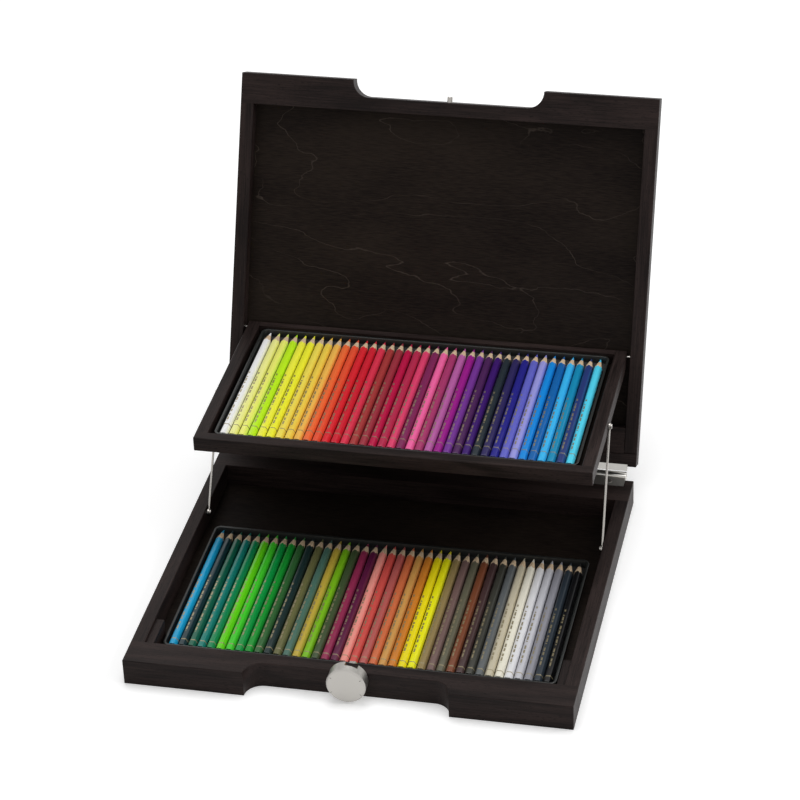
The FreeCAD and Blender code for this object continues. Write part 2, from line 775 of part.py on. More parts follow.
# Hinges: two leaves, with the pin held fast between the base leaf's outer knuckles
def hinges():
    arm_low = leaf_floor - hinge_z
    arm_high = arm_low + s.leaf_thickness
    radius = s.barrel_radius
    free = -radius - s.barrel_gap
    past = radius + s.cut_past
    middle = s.knuckle_width / 2
    for name, side in (("left", -1), ("right", 1)):
        centre = side * hinge_x
        low = centre - hinge_half
        high = centre + hinge_half

        base_leaf = body(f"hinge_{name}_base_leaf", y=hinge_y, z=hinge_z)
        meet_low = -root(radius * radius - arm_low * arm_low)
        meet_high = -root(radius * radius - arm_high * arm_high)
        edge = lid_back - s.base_leaf_reach
        profile = [
            line_to(edge, arm_low),
            line_to(meet_low, arm_low),
            arc_to(meet_high, arm_high, (ZERO, ZERO), radius, True),
            line_to(edge, arm_high),
        ]
        pad(base_leaf, "YZ_Plane", [profile], low, high)
        window = rectangle(free, past, -past, past)
        window_low = centre - middle - s.knuckle_gap
        window_high = centre + middle + s.knuckle_gap
        pocket(base_leaf, "YZ_Plane", [window], window_low, window_high)
        pin = sketch(base_leaf, "YZ_Plane", window_low)
        draw_circle(pin, ZERO, ZERO, s.hinge_pin_radius)
        add_feature(base_leaf, "Pad", pin, window_high - window_low, False)

        lid_leaf = lid_body(f"hinge_{name}_lid_leaf")
        meet = -root(radius * radius - leaf_arm_low * leaf_arm_low)
        profile = [
            line_to(leaf_plate_front, leaf_arm_low),
            line_to(meet, leaf_arm_low),
            arc_to(ZERO, radius, (ZERO, ZERO), radius, True),
            line_to(lid_back, radius),
            line_to(lid_back, lid_leaf_high),
            line_to(leaf_plate_front, lid_leaf_high),
        ]
        pad(lid_leaf, "YZ_Plane", [profile], low, high)
        window = rectangle(free, past, -past, past)
        pocket(lid_leaf, "YZ_Plane", [window], low - s.cut_past, centre - middle)
        pocket(lid_leaf, "YZ_Plane", [window], centre + middle, high + s.cut_past)
        drill(lid_leaf, "YZ_Plane", [(ZERO, ZERO)], s.hinge_pin_radius + s.running_gap,
              low - s.cut_past, high + s.cut_past)


# Struts: a wire on each side that turns about a screw in the base and one in the tray
def struts():
    for name, side in (("left", -1), ("right", 1)):
        wire = body(f"strut_{name}", y=strut_foot_y, z=strut_foot_z, lean=strut_lean)
        low_x, high_x = side * foot_eye_x, side * head_eye_x
        low_y, high_y = eye_radius, arm_length - eye_radius
        run_x, run_y = high_x - low_x, high_y - low_y
        rod_length = root(run_x * run_x + run_y * run_y)
        out_x, out_y = s.wire_radius * run_y / rod_length, -s.wire_radius * run_x / rod_length
        turned(wire, [
            line_to(low_x, low_y),
            line_to(high_x, high_y),
            line_to(high_x + out_x, high_y + out_y),
            line_to(low_x + out_x, low_y + out_y),
        ], "XY_Plane", "Edge1")
        for eye_x, eye_y in ((foot_eye_x, ZERO), (head_eye_x, arm_length)):
            ring = sketch(wire, "YZ_Plane", side * eye_x - s.eye_thickness / 2)
            draw_circle(ring, eye_y, ZERO, eye_radius + s.wire_radius)
            draw_circle(ring, eye_y, ZERO, eye_radius - s.wire_radius)
            add_feature(wire, "Pad", ring, s.eye_thickness, False)


def eye_screws(label, y, z, seat, toward):
    """A screw each side: toward is 1 where it runs outwards from its seat, -1 where it runs inwards."""
    screws = body(label, y=y, z=z)
    head_low = seat - toward * 2 * (s.eye_gap + s.wire_radius)
    head_high = head_low - toward * s.strut_screw_head_depth
    tip = seat + toward * s.strut_screw_length
    for side in (-1, 1):
        turned(screws, [
            line_to(side * head_high, ZERO),
            line_to(side * head_high, s.strut_screw_head),
            line_to(side * head_low, s.strut_screw_head),
            line_to(side * head_low, s.strut_screw_radius),
            line_to(side * tip, s.strut_screw_radius),
            line_to(side * tip, ZERO),
        ], "XY_Plane")


# Knob: a cup that turns on a spindle through the front rail and closes over the lid's stud
def knob():
    depth = -s.knob_depth
    cavity = -s.knob_cavity_depth

    cup = body("knob_cup", y=knob_y, z=knob_z)
    turned(cup, [
        line_to(ZERO, s.knob_cavity),
        line_to(ZERO, s.knob_radius),
        line_to(depth + s.knob_bevel, s.knob_radius),
        line_to(depth, s.knob_radius - s.knob_bevel),
        line_to(depth, ZERO),
        line_to(cavity, ZERO),
        line_to(cavity, s.knob_cavity),
    ])
    inner = s.knob_cavity - s.cut_past
    outer = s.knob_radius + s.cut_past
    start_x, start_z = sine(s.slot_start), cosine(s.slot_start)
    end_x, end_z = sine(s.slot_end), cosine(s.slot_end)
    slot = [
        line_to(inner * start_x, inner * start_z),
        arc_to(inner * end_x, inner * end_z, (ZERO, ZERO), inner, False),
        line_to(outer * end_x, outer * end_z),
        arc_to(outer * start_x, outer * start_z, (ZERO, ZERO), outer, True),
    ]
    pocket(cup, "XZ_Plane", [slot], -s.slot_depth, s.cut_past)

    wall = inner_front - knob_y
    spindle = body("knob_spindle", y=knob_y, z=knob_z)
    turned(spindle, rectangle(cavity, wall + s.spindle_tail, ZERO, s.spindle_radius))

    nut = body("knob_nut", y=knob_y, z=knob_z)
    nut_low = wall + s.nut_gap
    pad(nut, "XZ_Plane", [hexagon(s.nut_flats)], nut_low, nut_low + s.nut_depth)
    drill(nut, "XZ_Plane", [(ZERO, ZERO)], s.spindle_radius + s.fixed_gap, nut_low, nut_low + s.nut_depth)


base_frame()
lid_frame()
upper_tray()
base_insert_rear = inner_front + s.base_front_room + insert_length
lower_bed, lower_butt = insert("lower", base_body, lower_count, base_insert_rear, floor)
tray_floor = tray_underside + s.tray_panel
upper_bed, upper_butt = insert("upper", tray_body, upper_count, tray_insert_rear, tray_floor)
pencils("lower", lower_count, ZERO, ZERO, lower_bed, lower_butt)
pencils("upper", upper_count, pin_open_y, pin_open_z, upper_bed, upper_butt)
hinges()
struts()
eye_screws("strut_foot_screws", strut_foot_y, strut_foot_z, inner_half, 1)
eye_screws("strut_head_screws", pin_open_y - s.strut_ahead, pin_open_z + strut_top_z, tray_half, -1)
knob()
doc.recompute()

for item in doc.Objects:
    bad = {"Invalid", "Error"} & set(item.State)
    if bad:
        raise RuntimeError(f"{item.Name} failed: {item.State}")
    if item.TypeId in ("PartDesign::Pocket", "PartDesign::Groove", "PartDesign::Chamfer"):
        if item.Shape.Volume >= item.BaseFeature.Shape.Volume:
            raise RuntimeError(f"{item.Name} cuts nothing")
for piece in parts:
    if piece.Shape.isNull() or not piece.Shape.isValid():
        raise RuntimeError(f"{piece.Label} has no valid shape")

os.makedirs("parts", exist_ok=True)
for piece in parts:
    piece.Shape.exportStep(f"parts/{piece.Label}.step")
print(f"{len(parts)} sub-parts written")
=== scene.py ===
import math
import random
import bpy
from mathutils import Matrix, Vector


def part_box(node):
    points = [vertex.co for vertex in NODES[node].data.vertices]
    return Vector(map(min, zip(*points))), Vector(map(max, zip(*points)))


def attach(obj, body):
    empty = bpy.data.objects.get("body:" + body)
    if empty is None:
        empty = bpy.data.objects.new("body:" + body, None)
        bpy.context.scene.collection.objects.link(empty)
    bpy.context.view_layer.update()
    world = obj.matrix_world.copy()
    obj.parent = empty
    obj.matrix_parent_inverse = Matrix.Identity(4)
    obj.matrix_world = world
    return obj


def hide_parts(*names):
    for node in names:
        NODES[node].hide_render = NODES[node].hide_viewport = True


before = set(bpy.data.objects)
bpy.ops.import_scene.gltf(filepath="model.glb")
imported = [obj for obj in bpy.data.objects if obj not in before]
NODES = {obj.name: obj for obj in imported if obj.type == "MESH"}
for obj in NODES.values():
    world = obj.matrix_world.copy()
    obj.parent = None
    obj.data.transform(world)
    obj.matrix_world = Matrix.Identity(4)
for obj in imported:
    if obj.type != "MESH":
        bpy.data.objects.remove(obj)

# Wooden pencil case, open, with its lifting tray and 78 coloured pencils.
# Lengths are in metres, +X to the right, +Y to the back, +Z up, origin under the middle of the case.

MM = 0.001
QUARTER_TURN = math.radians(90)
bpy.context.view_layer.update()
LID_LEAN = math.radians(114)

# Camera at the photograph's viewing angle
CAMERA_AZIMUTH = math.radians(13.34)
CAMERA_ELEVATION = math.radians(32.56)
CAMERA_ROLL = math.radians(-2.42)
CAMERA_DISTANCE = 2.75616
CAMERA_TARGET = Vector((-0.0007, 0.07895, 0.14813))
CAMERA_LENS = 141.65
CAMERA_SENSOR = 36
CAMERA_NEAR = 0.1
CAMERA_FAR = 50

# Pencils
PENCIL_SIDES = 6
PENCIL_LENGTH = 175 * MM
PENCIL_FLATS = 7 * MM
PENCIL_PITCH = 8.35 * MM
PENCIL_CONE = 15 * MM
PENCIL_POINT = 0.35 * MM
PENCIL_LEAD = 6 * MM
PENCIL_ARRIS = 0.45 * MM
ARRIS_STEPS = 2
CONE_SIDES = 24
# Sharpened wood is looked for this far from the point: it goes further down at the corners than on the flats
CONE_REACH = 22.5 * MM
# Faces that meet at less than this are shaded as one round surface, so the flats keep crisp edges
FLAT_SIDED = math.radians(17)
# The middle of the foil ring, from the blunt end
LOWER_RING = 7.5 * MM
UPPER_RING = 14 * MM
RING_WIDTH = 1.1 * MM
# How far a pencil lies rolled or pushed out of line
ROLL_JITTER = math.radians(3)
SLIDE_JITTER = 0.25 * MM
CHANCE_SEED = 7

# Lacquer colours of the pencils, from left to right
UPPER_LACQUERS = {
    "white": "F2F0F4", "cream yellow": "F0F48A", "pale lemon": "DCEC6A", "lime": "B0E020",
    "lemon": "F2F440", "cadmium lemon": "EAE632", "straw yellow": "F0CC50", "chrome yellow": "F0C048",
    "light orange": "E6AA4C", "orange": "DC6434", "vermilion": "D44C30", "light red": "C8242E",
    "scarlet": "BE2030", "geranium": "C83048", "brown red": "963434", "dark red": "8E2E3A",
    "carmine": "AA1440", "madder": "A62848", "rose": "CC3C64", "dark magenta": "722450",
    "pink": "E25E96", "red violet": "9A3462", "mauve": "A85896", "magenta": "8E1A7E",
    "purple": "6A3088", "plum": "44204E", "deep violet": "361462", "slate": "222A30",
    "indigo": "2A2452", "ultramarine": "22207A", "blue violet": "5A5CB4", "lavender": "8C8CCC",
    "cobalt": "127ECC", "steel blue": "125A9C", "sky": "34A8E0", "sea blue": "1280A8",
    "navy": "24346A", "light cyan": "4CC4EC",
}
LOWER_LACQUERS = {
    "cyan": "1292BE", "black green": "102A30", "fir": "0C5440", "teal": "107066",
    "emerald": "0A7A4A", "grass": "5CC214", "leaf": "3CBC28", "permanent green": "0A8A3C",
    "meadow green": "12882C", "dark green": "2C5A2E", "pine": "182A2A", "olive": "5E5E3A",
    "earth green": "44665A", "mustard": "B09A3A", "May green": "70AC18", "moss": "3A4A2E",
    "maroon": "86284A", "aubergine": "54183A", "salmon": "DC8A80", "coral": "C04A44",
    "brick": "A85450", "sanguine": "C0643E", "tan": "BE8C4A", "ochre": "BE7428",
    "yellow": "DCCC14", "light yellow": "E8DC14", "khaki": "86744A", "umber": "6A5450",
    "stone": "5A5848", "sienna": "70402A", "sepia": "423030", "dark sepia": "383832",
    "grey": "585C5E", "beige": "B8B09A", "ivory": "DCD8C8", "silver": "D4D4D6",
    "light grey": "B8B8BE", "cold grey": "86868E", "slate blue": "283038", "black": "101012",
}
ROWS = (
    ("lower", "base", LOWER_LACQUERS, (10, 10, 10, 10), LOWER_RING),
    ("upper", "tray", UPPER_LACQUERS, (10, 10, 9, 9), UPPER_RING),
)

# Pressed inserts
SHEET = 0.8 * MM
INSERT_RIM = 1.4 * MM
INSERT_CORNER = 6.0 * MM
CORNER_STEPS = 10
SHEET_EDGE = 0.3 * MM
EDGE_STEPS = 2
# Only edges that turn by more than this are rounded
SHEET_FOLD = math.radians(50)
INSERT_SMOOTH = math.radians(35)


def linear(code):
    """An sRGB hex value as linear red, green, blue and alpha."""
    channels = [int(code[place:place + 2], 16) / 255 for place in (0, 2, 4)]
    return tuple(c / 12.92 if c <= 0.04045 else ((c + 0.055) / 1.055) ** 2.4 for c in channels) + (1.0,)


def add_node(owner, kind, settings=None, feeds=None):
    """Add a shader node, set its properties, and feed its inputs with values or other nodes' outputs."""
    tree = owner.node_tree
    node = tree.nodes.new(kind)
    for name, value in (settings or {}).items():
        setattr(node, name, value)
    for socket, value in (feeds or {}).items():
        if isinstance(value, bpy.types.NodeSocket):
            tree.links.new(value, node.inputs[socket])
        else:
            node.inputs[socket].default_value = value
    return node


def new_material(name, colour, roughness, metallic=0.0, **sockets):
    """A principled material whose even values sit on the shader's own sockets."""
    material = bpy.data.materials.new(name)
    material.use_nodes = True
    shader = material.node_tree.nodes["Principled BSDF"]
    shader.inputs["Base Color"].default_value = linear(colour)
    shader.inputs["Roughness"].default_value = roughness
    shader.inputs["Metallic"].default_value = metallic
    for socket, value in sockets.items():
        shader.inputs[socket.replace("_", " ")].default_value = value
    return material, shader


def link(material, output, target):
    """Feed one of the shader's sockets with a node's output."""
    material.node_tree.links.new(output, target)


def drawn_out(length, width):
    """A Mapping node's scale for a pattern that is this long on X and this wide across it."""
    return (1 / length, 1 / width, 1 / width)


# Materials

FIBRE_LENGTH = 38 * MM
FIBRE_WIDTH = 0.8 * MM
FIGURE_LENGTH = 130 * MM
FIGURE_WIDTH = 16 * MM
PORE_LENGTH = 5 * MM
PORE_WIDTH = 0.45 * MM
# Noise levels at which a pore starts and at which it is full
PORE_START = 0.62
PORE_FULL = 0.7
DARK_STAIN = "130D0C"
PALE_STAIN = "322826"
PORE_STAIN = "0C0808"
# Sums of two noises at which the stain is darkest and palest
STAIN_FROM = 0.78
STAIN_TO = 1.22
# Sums of the same two at which the lacquer is smoothest and roughest, and the roughness there
GLOSS_FROM = 0.7
GLOSS_TO = 1.3
DARK_WOOD_ROUGHNESS = 0.4
PALE_WOOD_ROUGHNESS = 0.52


def stained_maple(name, turn):
    """Solid maple, planed, stained black-brown and sprayed with satin lacquer.

    The eye sees an even dark brown with fine long fibres, small dark pores and a soft grazing sheen.
    The fibres are drawn a little coarser than real ones, so that they show in the render.
    turn brings the wood's own length onto X.
    """
    material, shader = new_material(name, "221918", roughness=0.46, IOR=1.45, Specular_IOR_Level=0.12)
    place = add_node(material, "ShaderNodeTexCoord")
    along = add_node(material, "ShaderNodeMapping", None,
                     {"Vector": place.outputs["Object"], "Rotation": turn})
    fibre_place = add_node(material, "ShaderNodeMapping", None,
                           {"Vector": along.outputs[0], "Scale": drawn_out(FIBRE_LENGTH, FIBRE_WIDTH)})
    fibres = add_node(material, "ShaderNodeTexNoise", None,
                      {"Vector": fibre_place.outputs[0], "Scale": 1.0, "Detail": 4.0, "Roughness": 0.6})
    figure_place = add_node(material, "ShaderNodeMapping", None,
                            {"Vector": along.outputs[0], "Scale": drawn_out(FIGURE_LENGTH, FIGURE_WIDTH)})
    figure = add_node(material, "ShaderNodeTexNoise", None,
                      {"Vector": figure_place.outputs[0], "Scale": 1.0, "Detail": 3.0, "Distortion": 0.8})
    pore_place = add_node(material, "ShaderNodeMapping", None,
                          {"Vector": along.outputs[0], "Scale": drawn_out(PORE_LENGTH, PORE_WIDTH)})
    pores = add_node(material, "ShaderNodeTexNoise", None,
                     {"Vector": pore_place.outputs[0], "Scale": 1.0, "Detail": 1.0})
    pore_mask = add_node(material, "ShaderNodeMapRange", None,
                         {"Value": pores.outputs["Fac"], "From Min": PORE_START, "From Max": PORE_FULL})
    blend = add_node(material, "ShaderNodeMath", {"operation": "ADD"},
                     {0: fibres.outputs["Fac"], 1: figure.outputs["Fac"]})
    share = add_node(material, "ShaderNodeMapRange", None,
                     {"Value": blend.outputs[0], "From Min": STAIN_FROM, "From Max": STAIN_TO})
    stain = add_node(material, "ShaderNodeMix", {"data_type": "RGBA"},
                     {0: share.outputs[0], 6: linear(DARK_STAIN), 7: linear(PALE_STAIN)})
    filled = add_node(material, "ShaderNodeMix", {"data_type": "RGBA"},
                      {0: pore_mask.outputs[0], 6: stain.outputs[2], 7: linear(PORE_STAIN)})
    link(material, filled.outputs[2], shader.inputs["Base Color"])
    gloss = add_node(material, "ShaderNodeMapRange", None,
                     {"Value": blend.outputs[0], "From Min": GLOSS_FROM, "From Max": GLOSS_TO,
                      "To Min": DARK_WOOD_ROUGHNESS, "To Max": PALE_WOOD_ROUGHNESS})
    link(material, gloss.outputs[0], shader.inputs["Roughness"])
    relief = add_node(material, "ShaderNodeMath", {"operation": "SUBTRACT"},
                      {0: fibres.outputs["Fac"], 1: pore_mask.outputs[0]})
    bump = add_node(material, "ShaderNodeBump", None,
                    {"Height": relief.outputs[0], "Strength": 0.45, "Distance": 0.05 * MM})
    link(material, bump.outputs[0], shader.inputs["Normal"])
    return material


RING_SPACING_LONG = 210 * MM
RING_SPACING_WIDE = 88 * MM
# Rings over the whole range of the noise
RING_COUNT = 8.0
# Rings that the knife crosses in each metre along X, Y and Z
RING_LEAN = (8.0, 12.0, 22.0)
HALF_RING = 0.5
# The line's half width, as a share of the way from one ring to the next
LINE_SHARE = 0.014
FADE_SPACING = 40 * MM
# Noise levels at which a line is gone and at which it is whole
LINE_GONE = 0.36
LINE_WHOLE = 0.6
VENEER_FIBRE_LENGTH = 9 * MM
CLOUD_SCALE = 1.3
# Sums of two noises at which the veneer is darkest and palest
VENEER_FROM = 0.72
VENEER_TO = 1.28
DARK_VENEER = "110C0B"
PALE_VENEER = "29221D"


def rotary_veneer(name, turn, line_colour):
    """Rotary-cut maple plywood, stained near black, satin.

    The peeling knife crosses the year rings at a shallow angle, so thin pale lines wander over the
    panel like the contour lines of a map, and fade in and out.
    """
    material, shader = new_material(name, "1A1413", roughness=0.5, IOR=1.45, Specular_IOR_Level=0.06)
    place = add_node(material, "ShaderNodeTexCoord")
    along = add_node(material, "ShaderNodeMapping", None,
                     {"Vector": place.outputs["Object"], "Rotation": turn})
    field_place = add_node(material, "ShaderNodeMapping", None,
                           {"Vector": along.outputs[0],
                            "Scale": drawn_out(RING_SPACING_LONG, RING_SPACING_WIDE)})
    field = add_node(material, "ShaderNodeTexNoise", None,
                     {"Vector": field_place.outputs[0], "Scale": 1.0, "Detail": 6.0, "Roughness": 0.4,
                      "Distortion": 0.2})
    lean = add_node(material, "ShaderNodeVectorMath", {"operation": "DOT_PRODUCT"},
                    {0: along.outputs[0], 1: RING_LEAN})
    steps = add_node(material, "ShaderNodeMath", {"operation": "MULTIPLY_ADD"},
                     {0: field.outputs["Fac"], 1: RING_COUNT, 2: lean.outputs["Value"]})
    phase = add_node(material, "ShaderNodeMath", {"operation": "PINGPONG"},
                     {0: steps.outputs[0], 1: HALF_RING})
    line = add_node(material, "ShaderNodeMapRange", None,
                    {"Value": phase.outputs[0], "From Min": LINE_SHARE, "From Max": 0.0})
    fade_place = add_node(material, "ShaderNodeMapping", None,
                          {"Vector": along.outputs[0], "Scale": drawn_out(FADE_SPACING, FADE_SPACING)})
    fade = add_node(material, "ShaderNodeTexNoise", None,
                    {"Vector": fade_place.outputs[0], "Scale": 1.0, "Detail": 2.0})
    fade_share = add_node(material, "ShaderNodeMapRange", None,
                          {"Value": fade.outputs["Fac"], "From Min": LINE_GONE, "From Max": LINE_WHOLE})
    seen = add_node(material, "ShaderNodeMath", {"operation": "MULTIPLY"},
                    {0: line.outputs[0], 1: fade_share.outputs[0]})
    fibre_place = add_node(material, "ShaderNodeMapping", None,
                           {"Vector": along.outputs[0],
                            "Scale": drawn_out(VENEER_FIBRE_LENGTH, FIBRE_WIDTH)})
    fibres = add_node(material, "ShaderNodeTexNoise", None,
                      {"Vector": fibre_place.outputs[0], "Scale": 1.0, "Detail": 3.0})
    cloud = add_node(material, "ShaderNodeTexNoise", None,
                     {"Vector": field_place.outputs[0], "Scale": CLOUD_SCALE, "Detail": 2.0})
    mottle = add_node(material, "ShaderNodeMath", {"operation": "ADD"},
                      {0: fibres.outputs["Fac"], 1: cloud.outputs["Fac"]})
    share = add_node(material, "ShaderNodeMapRange", None,
                     {"Value": mottle.outputs[0], "From Min": VENEER_FROM, "From Max": VENEER_TO})
    stain = add_node(material, "ShaderNodeMix", {"data_type": "RGBA"},
                     {0: share.outputs[0], 6: linear(DARK_VENEER), 7: linear(PALE_VENEER)})
    lined = add_node(material, "ShaderNodeMix", {"data_type": "RGBA"},
                     {0: seen.outputs[0], 6: stain.outputs[2], 7: linear(line_colour)})
    link(material, lined.outputs[2], shader.inputs["Base Color"])
    bump = add_node(material, "ShaderNodeBump", None,
                    {"Height": fibres.outputs["Fac"], "Strength": 0.2, "Distance": 0.03 * MM})
    link(material, bump.outputs[0], shader.inputs["Normal"])
    return material


PEEL_SIZE = 1.6 * MM
DARK_PAINT = "171918"
PALE_PAINT = "212322"


def painted_sheet(name):
    """Pressed steel sheet with satin black paint: near black, a little green, with a faint orange peel."""
    material, shader = new_material(name, "1C1E1D", roughness=0.34, IOR=1.5, Specular_IOR_Level=0.5)
    place = add_node(material, "ShaderNodeTexCoord")
    peel = add_node(material, "ShaderNodeTexNoise", None,
                    {"Vector": place.outputs["Object"], "Scale": 1 / PEEL_SIZE, "Detail": 2.0})
    bump = add_node(material, "ShaderNodeBump", None,
                    {"Height": peel.outputs["Fac"], "Strength": 0.08, "Distance": 0.05 * MM})
    link(material, bump.outputs[0], shader.inputs["Normal"])
    tone = add_node(material, "ShaderNodeMix", {"data_type": "RGBA"},
                    {0: peel.outputs["Fac"], 6: linear(DARK_PAINT), 7: linear(PALE_PAINT)})
    link(material, tone.outputs[2], shader.inputs["Base Color"])
    return material


PLASTIC_GRAIN = 0.7 * MM


def matt_plastic(name):
    """Vacuum-formed polystyrene, matt black, with a fine grain."""
    material, shader = new_material(name, "161617", roughness=0.62, IOR=1.55)
    place = add_node(material, "ShaderNodeTexCoord")
    grain = add_node(material, "ShaderNodeTexNoise", None,
                     {"Vector": place.outputs["Object"], "Scale": 1 / PLASTIC_GRAIN, "Detail": 1.0})
    bump = add_node(material, "ShaderNodeBump", None,
                    {"Height": grain.outputs["Fac"], "Strength": 0.2, "Distance": 0.05 * MM})
    link(material, bump.outputs[0], shader.inputs["Normal"])
    return material


# How far the dull and the bright grains lie from a metal's own roughness
DULLER = 0.1
BRIGHTER = 0.06


def satin_metal(name, colour, roughness, grain, stretch, bump_strength):
    """Bare metal: stretch draws out the grain along X, as drawn, extruded or brushed metal has it."""
    material, shader = new_material(name, colour, roughness, metallic=1.0)
    place = add_node(material, "ShaderNodeTexCoord")
    lines_place = add_node(material, "ShaderNodeMapping", None,
                           {"Vector": place.outputs["Object"], "Scale": drawn_out(grain * stretch, grain)})
    lines = add_node(material, "ShaderNodeTexNoise", None,
                     {"Vector": lines_place.outputs[0], "Scale": 1.0, "Detail": 3.0})
    gloss = add_node(material, "ShaderNodeMapRange", None,
                     {"Value": lines.outputs["Fac"],
                      "To Min": roughness - BRIGHTER, "To Max": roughness + DULLER})
    link(material, gloss.outputs[0], shader.inputs["Roughness"])
    bump = add_node(material, "ShaderNodeBump", None,
                    {"Height": lines.outputs["Fac"], "Strength": bump_strength, "Distance": 0.03 * MM})
    link(material, bump.outputs[0], shader.inputs["Normal"])
    return material


# Foil bars on the upper flat, measured from the blunt end and across the pencil.
# Two rhythms lie over each other, each with its step and the gap that opens the step.
BAR_STEPS = ((6.5 * MM, 1.5 * MM), (15.7 * MM, 3.4 * MM))
BARS_START = 19 * MM
BARS_END = 102 * MM
BAR_LEFT = -1.8 * MM
BAR_RIGHT = -0.4 * MM
BAR_LEVEL = 3.3 * MM
FOIL_COLOUR = "A69A7A"
FOIL_METAL = 0.5
# The coat lies uneven in waves, 0.18 of them in each millimetre
LACQUER_WAVE = MM / 0.18
# The written colours are lifted by these factors, and no channel goes past the palest coat
LEAST_LIFT = 1.17
MOST_LIFT = 1.29
PALEST_COAT = 0.9


def pencil_lacquer(name):
    """Gloss lacquer in the colour of each pencil's lead, dipped in several coats over the wood.

    The colour comes from the mesh. Plain foil bars are stamped along the upper flat.
    """
    material, shader = new_material(name, "808080", roughness=0.28, IOR=1.5, Specular_IOR_Level=0.42)
    colour = add_node(material, "ShaderNodeAttribute", {"attribute_name": "lacquer"})
    place = add_node(material, "ShaderNodeAttribute", {"attribute_name": "own_place"})
    uneven = add_node(material, "ShaderNodeTexNoise", None,
                      {"Vector": place.outputs["Vector"], "Scale": 1 / LACQUER_WAVE, "Detail": 2.0})
    shade = add_node(material, "ShaderNodeMapRange", None,
                     {"Value": uneven.outputs["Fac"], "To Min": LEAST_LIFT, "To Max": MOST_LIFT})
    tint = add_node(material, "ShaderNodeVectorMath", {"operation": "SCALE"},
                    {0: colour.outputs["Color"], "Scale": shade.outputs[0]})
    coat = add_node(material, "ShaderNodeVectorMath", {"operation": "MINIMUM"},
                    {0: tint.outputs[0], 1: (PALEST_COAT, PALEST_COAT, PALEST_COAT)})
    parts = add_node(material, "ShaderNodeSeparateXYZ", None, {0: place.outputs["Vector"]})
    limits = []
    for step, gap in BAR_STEPS:
        along = add_node(material, "ShaderNodeMath", {"operation": "FLOORED_MODULO"},
                         {0: parts.outputs["Y"], 1: step})
        limits.append((along.outputs[0], gap, "GREATER_THAN"))
    limits += [(parts.outputs["Y"], BARS_START, "GREATER_THAN"), (parts.outputs["Y"], BARS_END, "LESS_THAN"),
               (parts.outputs["X"], BAR_LEFT, "GREATER_THAN"), (parts.outputs["X"], BAR_RIGHT, "LESS_THAN"),
               (parts.outputs["Z"], BAR_LEVEL, "GREATER_THAN")]
    bar = None
    for value, limit, operation in limits:
        passed = add_node(material, "ShaderNodeMath", {"operation": operation}, {0: value, 1: limit})
        if bar:
            passed = add_node(material, "ShaderNodeMath", {"operation": "MULTIPLY"},
                              {0: bar.outputs[0], 1: passed.outputs[0]})
        bar = passed
    stamped = add_node(material, "ShaderNodeMix", {"data_type": "RGBA"},
                       {0: bar.outputs[0], 6: coat.outputs[0], 7: linear(FOIL_COLOUR)})
    link(material, stamped.outputs[2], shader.inputs["Base Color"])
    film = add_node(material, "ShaderNodeMath", {"operation": "MULTIPLY"},
                    {0: bar.outputs[0], 1: FOIL_METAL})
    link(material, film.outputs[0], shader.inputs["Metallic"])
    return material


CEDAR_GRAIN_LENGTH = 6.25 * MM
CEDAR_GRAIN_WIDTH = MM / 1.4
DARK_CEDAR = "B4946F"
PALE_CEDAR = "E8D3B4"


def bare_cedar(name):
    """Sharpened cedar: pale pinkish wood, cut clean by the blade, with its fine grain along the pencil."""
    material, shader = new_material(name, "C8A888", roughness=0.6)
    place = add_node(material, "ShaderNodeAttribute", {"attribute_name": "own_place"})
    grain_place = add_node(material, "ShaderNodeMapping", None,
                           {"Vector": place.outputs["Vector"],
                            "Scale": (1 / CEDAR_GRAIN_WIDTH, 1 / CEDAR_GRAIN_LENGTH, 1 / CEDAR_GRAIN_WIDTH)})
    grain = add_node(material, "ShaderNodeTexNoise", None,
                     {"Vector": grain_place.outputs[0], "Scale": 1.0, "Detail": 2.0})
    tone = add_node(material, "ShaderNodeMix", {"data_type": "RGBA"},
                    {0: grain.outputs["Fac"], 6: linear(DARK_CEDAR), 7: linear(PALE_CEDAR)})
    link(material, tone.outputs[2], shader.inputs["Base Color"])
    return material


def coloured_lead(name):
    """Waxy pigment lead, in the pencil's own colour, with the dull gloss of a fresh point."""
    material, shader = new_material(name, "808080", roughness=0.5)
    colour = add_node(material, "ShaderNodeAttribute", {"attribute_name": "lacquer"})
    link(material, colour.outputs["Color"], shader.inputs["Base Color"])
    return material


# Turns that bring a piece's own length onto X: pieces along the case, across it, and up the open lid
ALONG_X = (0.0, 0.0, 0.0)
ALONG_Y = (0.0, 0.0, -QUARTER_TURN)
ALONG_LID = (LID_LEAN, 0.0, -QUARTER_TURN)

WOOD_X = stained_maple("stained_maple_lengthways", ALONG_X)
WOOD_Y = stained_maple("stained_maple_sideways", ALONG_Y)
WOOD_LID = stained_maple("stained_maple_lid_sides", ALONG_LID)
VENEER = rotary_veneer("black_stained_veneer", ALONG_X, line_colour="443C36")
FLOOR_VENEER = rotary_veneer("black_stained_floor_veneer", ALONG_X, line_colour="1F1A18")
PAINT = painted_sheet("satin_black_painted_steel")
PLASTIC = matt_plastic("matt_black_polystyrene")
# Extruded aluminium, vibratory finished: pale grey with faint lines along the profile
EXTRUDED = satin_metal("satin_extruded_aluminium", "C9C7C2",
                       roughness=0.3, grain=0.25 * MM, stretch=60, bump_strength=0.25)
# Turned aluminium, bead blasted: even pale grey without direction
BLASTED = satin_metal("bead_blasted_aluminium", "B2AFAA",
                      roughness=0.36, grain=0.35 * MM, stretch=1, bump_strength=0.3)
# Drawn steel wire and screws, nickel plated: bright and slightly warm
NICKEL = satin_metal("nickel_plated_steel", "ABA7A2",
                     roughness=0.24, grain=0.3 * MM, stretch=4, bump_strength=0.1)
# Painted shade: matt, even near-black marks that stand in for the shade inside small notches near the edge
# of the knob's face
NOTCH_SHADE = new_material("painted_notch_shade", "1A1918", roughness=0.7)[0]
